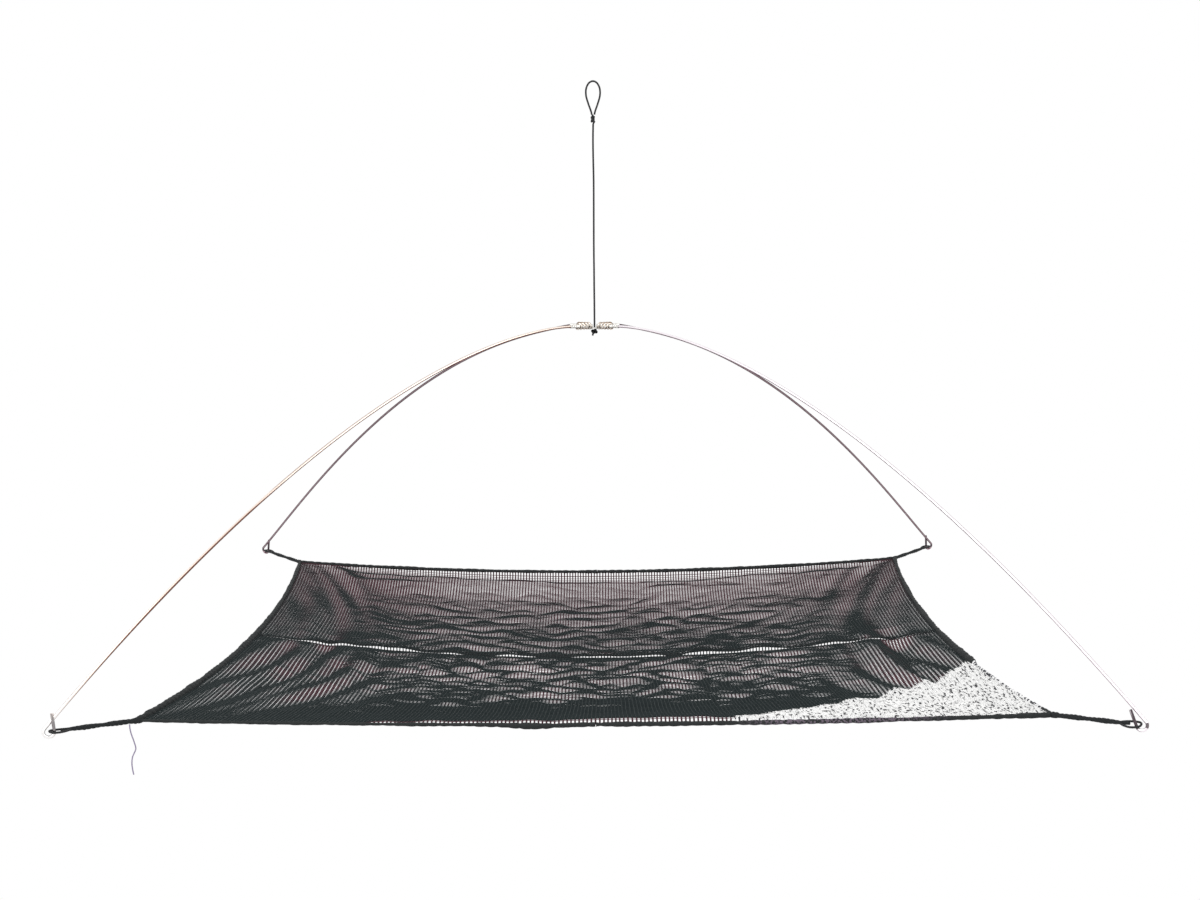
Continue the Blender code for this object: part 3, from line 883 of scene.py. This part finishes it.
def fold_height(u, v):
    """How far the folds lift the netting: low billows in the middle, long folds along the sides."""
    x, y = u * PANEL_HALF, v * PANEL_HALF
    drifted = y + waves(FOLD_DRIFT, x, y, 3.1)
    broad = waves(BROAD_FOLDS, x, drifted, 1.7)
    billows = abs(waves(BILLOWS, x, drifted, 5.1))
    creases = abs(waves(FINE_CREASES, x, drifted, 9.3))
    beside = waves(SIDE_FOLDS, abs(x) - SIDE_FAN * v * v, y, 7.7 if x > 0 else 6.2)
    beside -= RIGHT_TROUGH[2] * bump_at(x, *RIGHT_TROUGH[:2])
    side = passed(abs(u) - SIDE_START - SIDE_SLANT * v, 0, SIDE_REACH)
    side = side * side * (3 - 2 * side)
    slack = FRONT_SLACK + SLACK_GAIN[0] * passed(v, *SLACK_GAIN[1:])
    slack -= SLACK_LOSS[0] * passed(v, *SLACK_LOSS[1:])
    held = (1 - math.exp(-(1 - abs(u)) / HELD_SIDES)) * (1 - math.exp(-(1 - abs(v)) / HELD_ENDS))
    held *= slack * (1 - HELD_SEAM[0] * math.exp(-abs(v) / HELD_SEAM[1]))
    across = broad + creases + (1 - side) * billows
    return held * ((1 - 0.5 * side) * across + side * beside)


def hem_rows(hem):
    """For each row from the seam to a hem: its share of the way there, and how far it is lifted.

    The hem's own height, reach and fade bend the netting beside its rope.
    """
    height, reach, fade = hem
    flat = np.append(MESH_PITCH * np.arange(GAPS), CUT_HALF)
    inward = np.linspace(0, CUT_HALF, SLOPE_SAMPLES)
    slope = height / reach * np.exp(-inward / reach)
    level = np.concatenate([[0], np.cumsum(1 / np.sqrt(1 + slope[1:] ** 2))])
    shares = 1 - np.interp(CUT_HALF - flat, inward, level) / level[-1]
    lifts = height * (1 - np.exp((flat - CUT_HALF) / reach)) * np.exp((flat - CUT_HALF) / fade)
    return flat, shares, lifts


def seam_step(u):
    """How far the rear half's selvedge stands above the front half's along the seam."""
    wave = 1 + SEAM_WAVE[0] * noise.noise((u * PANEL_HALF / SEAM_WAVE[1], 0.3, 4.4))
    return SEAM_STEP * (1 - u**4) * max(SEAM_LEAST, wave)


def rear_creases(u, inward):
    """The height of two creases where the netting turns forward, in front of the rear hem."""
    total = 0
    for place, height, share in REAR_CREASES:
        apart = place * CREASE_APART
        centre = place + CREASE_DRIFT[0] * noise.noise((u * CREASE_DRIFT[1], apart, 3.3))
        fade = CREASE_FADE[0] * noise.noise((u * CREASE_FADE[1], apart, 8.3))
        wave = passed(share + fade, 0, 1)
        width = CREASE_BACK if inward < centre else CREASE_FRONT
        total += height * wave * bump_at(inward, centre, width)
    return total


def front_gape(u):
    """How far the row of meshes beside the front hem gapes: in places on the left, wider right."""
    gape = FRONT_GAPE + GAPE_GAIN[0] * passed(u, *GAPE_GAIN[1:])
    gape += GAPE_WAVE[0] * noise.noise((u * GAPE_WAVE[1], 4.9, 6.1))
    return max(LEAST_GAPE, gape * passed(u, *GAPE_OPENS))


def wander(threads, u, v, seed):
    """How far threads stray from their line at a place."""
    height, across, along = threads
    return height * noise.noise((u * across, v * along, seed))


def hung_lattice(sx, sy):
    """The places of a quarter's mesh corners, by row from the seam and column from the middle."""
    flat, shares, lifts = hem_rows(FRONT_HEM if sy < 0 else REAR_HEM)
    rows = []
    for distance, share, lift in zip(flat, shares, lifts):
        near_seam = math.exp(-distance / SEAM_REACH)
        row = []
        for i in range(GAPS + 1):
            u, v = sx * i / GAPS, sy * share
            across = 1 - u * u
            gape = 1.0 if sy > 0 else front_gape(u)
            step = (seam_step(u) if sy > 0 else FRONT_SEAM_STEP) * near_seam
            place = panel_point(u, v)
            crease = rear_creases(u, CUT_HALF - distance) if sy > 0 else 0
            place.z += fold_height(u, v) + across * (lift * gape + crease) + step
            place.x += wander(WARP_WANDER, u, v, 2.2) * across
            place.x += wander(WARP_JITTER, u, v, 8.4) * across
            place.y += wander(WEFT_JITTER, u, v, 4.9) * across + sy * SEAM_GAP * near_seam
            row.append(place)
        rows.append(row)
    return flat, np.array(rows)


def on_lattice(lattice, i, j):
    """The lattice's values at fractional columns i and rows j."""
    i0 = np.clip(np.floor(i).astype(int), 0, GAPS - 1)
    j0 = np.clip(np.floor(j).astype(int), 0, GAPS - 1)
    a, b = i - i0, j - j0
    if lattice.ndim == 3:
        a, b = a[:, None], b[:, None]
    near = lattice[j0, i0] * (1 - a) + lattice[j0, i0 + 1] * a
    far = lattice[j0 + 1, i0] * (1 - a) + lattice[j0 + 1, i0 + 1] * a
    return near * (1 - b) + far * b


def netting_quarter(name, sx, sy):
    """Threads cut flat from a grid's edges, then hung on the quarter's lattice."""
    flat, lattice = hung_lattice(sx, sy)
    bpy.ops.object.select_all(action="DESELECT")
    bpy.ops.mesh.primitive_grid_add(x_subdivisions=GAPS, y_subdivisions=GAPS, size=1.0)
    made = bpy.context.object
    made.name = name
    corners = np.empty(len(made.data.vertices) * 3)
    made.data.vertices.foreach_get("co", corners)
    corners = corners.reshape(-1, 3) + 0.5
    corners[:, 0] *= CUT_HALF
    corners[:, 1] = np.interp(corners[:, 1] * GAPS, np.arange(GAPS + 1), flat)
    corners[:, 2] = 0
    made.data.vertices.foreach_set("co", corners.ravel())
    threads = made.modifiers.new("threads", "WIREFRAME")
    threads.thickness = WEFT_WIDTH * math.sqrt(2)
    threads.use_even_offset = False
    threads.use_boundary = True
    bpy.ops.object.modifier_apply(modifier="threads")

    places = np.empty(len(made.data.vertices) * 3)
    made.data.vertices.foreach_get("co", places)
    places = places.reshape(-1, 3)
    columns = places[:, 0] / CUT_HALF * GAPS
    columns = np.where(columns < 0, columns * MIDDLE_THREAD_SHARE, columns)
    warps = np.round(columns)
    start, share = BUNCHED["left" if sx < 0 else "right"]
    bunched = 1 + share * np.clip((warps / GAPS - start) / BUNCHED_REACH, 0, 1)
    if sy > 0:
        inward = CUT_HALF - LOOSE_AT_REAR[0] - places[:, 1]
        bunched = 1 + (bunched - 1) * np.clip(inward / LOOSE_AT_REAR[1], 0, 1)
    columns = warps + (columns - warps) * bunched * WARP_WIDTH / WEFT_WIDTH
    steps = np.diff(flat)
    row = np.clip(np.searchsorted(flat, places[:, 1]) - 1, 0, GAPS - 1)
    rows = row + (places[:, 1] - flat[row]) / steps[row]
    right = np.gradient(lattice, axis=1)
    back = np.gradient(lattice, axis=0)
    upward = np.cross(right, back) * sx * sy
    upward /= np.linalg.norm(upward, axis=2)[:, :, None]
    heights = places[:, 2] * THREAD_HEIGHT / (WEFT_WIDTH * math.sqrt(2))
    hung = on_lattice(lattice, columns, rows) + heights[:, None] * on_lattice(upward, columns, rows)
    made.data.vertices.foreach_set("co", hung.ravel())
    lean = on_lattice(sy * back[:, :, 2] / np.linalg.norm(back, axis=2), columns, rows)
    carry(made, "lean", lean)
    if sx * sy < 0:
        made.data.flip_normals()
    made.data.update()
    made.data.shade_smooth()
    return made


# Where one corner of the netting turns white, behind a ragged slanting border.
WHITE_CORNER_SLOPE = 0.86
WHITE_CORNER_FROM = (0.601, 0.605)
WHITE_CORNER_RAGGED = 0.034

black_netting = Finish("black_netting", 0.70, specular=0.12)
whole = black_netting.node("ShaderNodeTexCoord", output="Object")
right_of_middle, behind_middle = black_netting.axes(whole)
teeth = black_netting.grain(420, stretch=(1.0, 0.1, 1.0))
ragged = WHITE_CORNER_RAGGED * black_netting.grain(45, detail=5.0) + WHITE_CORNER_RAGGED * teeth
border = WHITE_CORNER_SLOPE * right_of_middle - behind_middle + ragged
white_corner = black_netting.ease(border, *WHITE_CORNER_FROM)
fibre = black_netting.grain(1200, detail=3.0)
# A reddish tint painted by the netting's slope stands in for light shining through its threads.
backlit_share = black_netting.ease(carried(black_netting, "lean"), -0.02, 0.14)
cold_black = black_netting.mix(fibre, (0.006, 0.011, 0.012), (0.026, 0.034, 0.035))
backlit_black = black_netting.mix(fibre, (0.045, 0.016, 0.022), (0.105, 0.046, 0.058))
black = black_netting.mix(backlit_share, cold_black, backlit_black)
# Dark specks in the white corner are painted shadow between its threads.
shadow_flecks = black_netting.grain(380, detail=2.0, stretch=(1.0, 0.22, 1.0))
shadow_flecks = black_netting.ease(shadow_flecks, 0.555, 0.60)
white = black_netting.mix(shadow_flecks, (0.99, 0.99, 0.98), (0.05, 0.05, 0.055))
black_netting.colour(black_netting.mix(white_corner, black, white))
black_netting.bump(fibre, 0.0001)

quarters = {}
for corner, (sx, sy) in CORNERS.items():
    netting = netting_quarter(f"netting_{corner}", sx, sy)
    settle(netting, black_netting, f"{corner}_net", "black_netting", f"net_{corner}")
    quarters[corner] = netting


# Edge ropes. Each side of the panel is rolled round a cord and whipped, so the hem is a lumpy,
# slightly twisted black roll. Beside the white corner the right one is slim and white, and pale
# fibres show in the front one.
HEM_RING = 0.0011
HEM_SIDES = 12
HEM_START = 0.0003
KNOT_CLEARANCE = 0.0030

# Each roll's radius and taper, and the front one's lump: its place, width, drop and swelling.
FRONT_HEM_ROLL = {"left": (0.0023, -0.36), "right": (0.0023, 0.15)}
REAR_HEM_ROLL = (0.0026, 0)
SIDE_HEM_RADIUS = 0.0036
SIDE_HEM_TAPER = 0.22
FRONT_HEM_LUMP = (-0.060, 0.036, 0.0016)
HEM_SWELL = 0.5

# The right one's black end grows full, and between two places it slims by a share.
WHITE_HEM_SLIM = (0.188, 0.204, 0.68)
HEM_FULLNESS = 0.45

# The shares of a roll's radius in its core, lobes, lumps and knobs, and the last two's lengths.
HEM_CORE = 0.84
HEM_LOBE = 0.22
HEM_LUMP = (0.32, 0.035)
HEM_KNOB = (0.16, 0.006)
HEM_TWIST = 0.024
HEM_SEED_STEP = 3.3

# Where the white and the faded stretches lie.
HEM_WHITE_FROM = (0.648, 0.650)
SIDE_HEM_FROM = (0.440, 0.446)
FRONT_HEM_TO = (-0.446, -0.440)
FADED_FROM = (0.14, 0.20)
FADED_TO = (0.30, 0.38)
FADED_FRONT = (-0.30, -0.20)


def lump_at(x):
    """How much of the front hem's one thick lump, left of the middle, stands at a place across."""
    return bump_at(x, *FRONT_HEM_LUMP[:2])


def rolled(radius, taper, seed, lump=None, slim=None):
    """A rolled hem: two lobes that turn slowly, with lumps where the netting bunches.

    lump says which way across a front hem runs, and slim where and by how much a hem narrows.
    """

    def radius_at(angles, length):
        lobes = np.abs(np.cos(angles - 2 * math.pi * length / HEM_TWIST))
        lumps = HEM_LUMP[0] * noise.noise((length / HEM_LUMP[1], seed, 0.5))
        knobs = HEM_KNOB[0] * noise.noise((length / HEM_KNOB[1], seed, 2.5))
        swelling = 1 + taper * length / PANEL_HALF
        if lump:
            swelling += HEM_SWELL * lump_at(lump * length)
        if slim:
            swelling *= 1 + HEM_FULLNESS * passed(length, 0, slim[0])
            swelling *= 1 - slim[2] * passed(length, slim[0], slim[1] - slim[0])
        return radius * swelling * (HEM_CORE + HEM_LOBE * lobes + lumps + knobs)

    return radius_at


rolled_black = Finish("rolled_black", 0.72, specular=0.15)
whole = rolled_black.node("ShaderNodeTexCoord", output="Object")
right_of_middle, behind_middle = rolled_black.axes(whole)
white_corner = rolled_black.ease(right_of_middle - behind_middle, *HEM_WHITE_FROM)
on_side = rolled_black.ease(right_of_middle, *SIDE_HEM_FROM)
on_side = on_side * rolled_black.ease(behind_middle, *FRONT_HEM_TO)
fibre = rolled_black.grain(1300, detail=4.0)
black = rolled_black.mix(fibre, (0.008, 0.010, 0.011), (0.046, 0.050, 0.050))
dashes = rolled_black.ease(rolled_black.grain(230, detail=1.0), 0.48, 0.52)
white = rolled_black.mix(dashes, (0.98, 0.98, 0.98), (0.04, 0.04, 0.05))
faded = rolled_black.ease(right_of_middle, *FADED_FROM)
faded = faded * (1 - rolled_black.ease(right_of_middle, *FADED_TO))
faded = faded * (1 - rolled_black.ease(behind_middle, *FADED_FRONT))
faded = faded * rolled_black.ease(rolled_black.grain(480, detail=1.0), 0.44, 0.56)
black = rolled_black.mix(faded, black, (0.16, 0.13, 0.165))
rolled_black.colour(rolled_black.mix(white_corner * on_side, black, white))
rolled_black.bump(fibre, 0.0004)

start = HEM_START / PANEL_HALF
end = 1 - KNOT_CLEARANCE / PANEL_HALF
hem_shares = np.linspace(start, end, round(PANEL_HALF / HEM_RING))
for number, (corner, (sx, sy)) in enumerate(CORNERS.items()):
    side_name = "left" if sx < 0 else "right"
    end_name = "front" if sy < 0 else "rear"
    cross_line = [panel_point(sx * share, sy) for share in hem_shares]
    if sy < 0:
        for point in cross_line:
            point.z -= FRONT_HEM_LUMP[2] * lump_at(point.x)
    side_line = [panel_point(sx, sy * share) for share in hem_shares]
    cross_roll = FRONT_HEM_ROLL[side_name] if sy < 0 else REAR_HEM_ROLL
    lump = sx if sy < 0 else None
    slim = WHITE_HEM_SLIM if corner == "front_right" else None
    side_roll = (SIDE_HEM_RADIUS, -sy * SIDE_HEM_TAPER)
    seed = HEM_SEED_STEP * number
    cross_shape = rolled(*cross_roll, seed, lump=lump)
    side_shape = rolled(*side_roll, seed + 1, slim=slim)
    hems = {
        f"{end_name}_edge_rope_{side_name}": (cross_line, cross_shape),
        f"{side_name}_edge_rope_{end_name}": (side_line, side_shape),
    }
    for name, (line, shape) in hems.items():
        hem = cord_tube(f"{name}_rolled", line, shape, HEM_SIDES)
        settle(hem, rolled_black, f"{corner}_net", "black_cord", name)
        gather(hem, corner)
    gather(quarters[corner], corner)


# Seam lacing. A thin black twine goes up and down from mesh to mesh along the middle of the panel
# and joins the selvedges of its front and rear halves, which leaves a row of open meshes.
LACING_RADIUS = 0.00090
LACING_PLIES = 2
LACING_LAY = 0.0030
LACING_RING = 0.0010
LACING_SIDES = 6
LACING_FRONT = 0.0010
LACING_BELOW = 0.0006
LACING_ABOVE = 0.0010

for side_name, sx in (("left", -1), ("right", 1)):
    corner = f"front_{side_name}"
    route = []
    for i in range(GAPS - 1):
        u = sx * (i + 0.5) / GAPS
        low = panel_point(u, 0) + Vector((0, -LACING_FRONT, fold_height(u, 0) - LACING_BELOW))
        high = low + Vector((0, 2 * LACING_FRONT, seam_step(u) + LACING_ABOVE))
        route += [low, high] if i % 2 else [high, low]
    lacing_points = smooth_route(route, LACING_RING)
    lacing_shape = laid(LACING_RADIUS, LACING_PLIES, LACING_LAY)
    lacing_name = f"seam_lacing_{side_name}_threaded"
    lacing = cord_tube(lacing_name, lacing_points, lacing_shape, LACING_SIDES)
    settle(lacing, twisted_black, f"{corner}_net", "black_cord", f"seam_lacing_{side_name}")
    gather(lacing, corner)


# Floor and light. A plain pale floor lies under the net as far down as it folds, and the studio is
# even white, with one large soft lamp from the upper left and a smaller one from the right.
FLOOR_Z = -2.05
FLOOR_SIZE = 40.0
FLOOR_GREY = (0.88, 0.88, 0.88)
STUDIO_STRENGTH = 0.62
LAMPS_AIM = (0, 0, -0.55)


def seen_white(tree, shader):
    """Adds white where a surface is seen by the camera, in gloss or through glass."""
    light_path = tree.nodes.new("ShaderNodeLightPath")
    seen = tree.nodes.new("ShaderNodeMath")
    seen.operation = "MAXIMUM"
    tree.links.new(light_path.outputs["Is Camera Ray"], seen.inputs[0])
    tree.links.new(light_path.outputs["Is Glossy Ray"], seen.inputs[1])
    either = tree.nodes.new("ShaderNodeMath")
    either.operation = "MAXIMUM"
    tree.links.new(seen.outputs[0], either.inputs[0])
    tree.links.new(light_path.outputs["Is Transmission Ray"], either.inputs[1])
    white = tree.nodes.new("ShaderNodeEmission")
    white.inputs["Strength"].default_value = 1.0
    both = tree.nodes.new("ShaderNodeMixShader")
    tree.links.new(either.outputs[0], both.inputs[0])
    tree.links.new(shader, both.inputs[1])
    tree.links.new(white.outputs[0], both.inputs[2])
    return both.outputs[0]


bpy.ops.object.select_all(action="DESELECT")
bpy.ops.mesh.primitive_plane_add(size=FLOOR_SIZE, location=(0, 0, FLOOR_Z))
floor = bpy.context.object
floor.name = "floor"
pale_floor = Finish("pale_floor", 0.9)
pale_floor.colour(FLOOR_GREY)
floor.data.materials.append(pale_floor.material)
surface = pale_floor.tree.nodes["Material Output"].inputs["Surface"]
lit = pale_floor.shader.outputs["BSDF"]
pale_floor.tree.links.new(seen_white(pale_floor.tree, lit), surface)

studio = bpy.data.worlds.new("studio")
studio.use_nodes = True
bpy.context.scene.world = studio
background = studio.node_tree.nodes["Background"]
background.inputs["Color"].default_value = (1.0, 1.0, 1.0, 1.0)
background.inputs["Strength"].default_value = STUDIO_STRENGTH
surface = studio.node_tree.nodes["World Output"].inputs["Surface"]
lit = background.outputs["Background"]
studio.node_tree.links.new(seen_white(studio.node_tree, lit), surface)

for name, place, size, power in (
    ("soft_lamp", (-1.9, -2.2, 1.7), 2.2, 62.0),
    ("side_lamp", (2.4, -1.0, 0.9), 1.4, 18.0),
):
    bpy.ops.object.light_add(type="AREA", location=place)
    lamp = bpy.context.object
    lamp.name = name
    lamp.data.size = size
    lamp.data.energy = power
    aim = Vector(LAMPS_AIM) - Vector(place)
    lamp.rotation_euler = aim.to_track_quat("-Z", "Y").to_euler()

bpy.context.scene.view_settings.view_transform = "Standard"
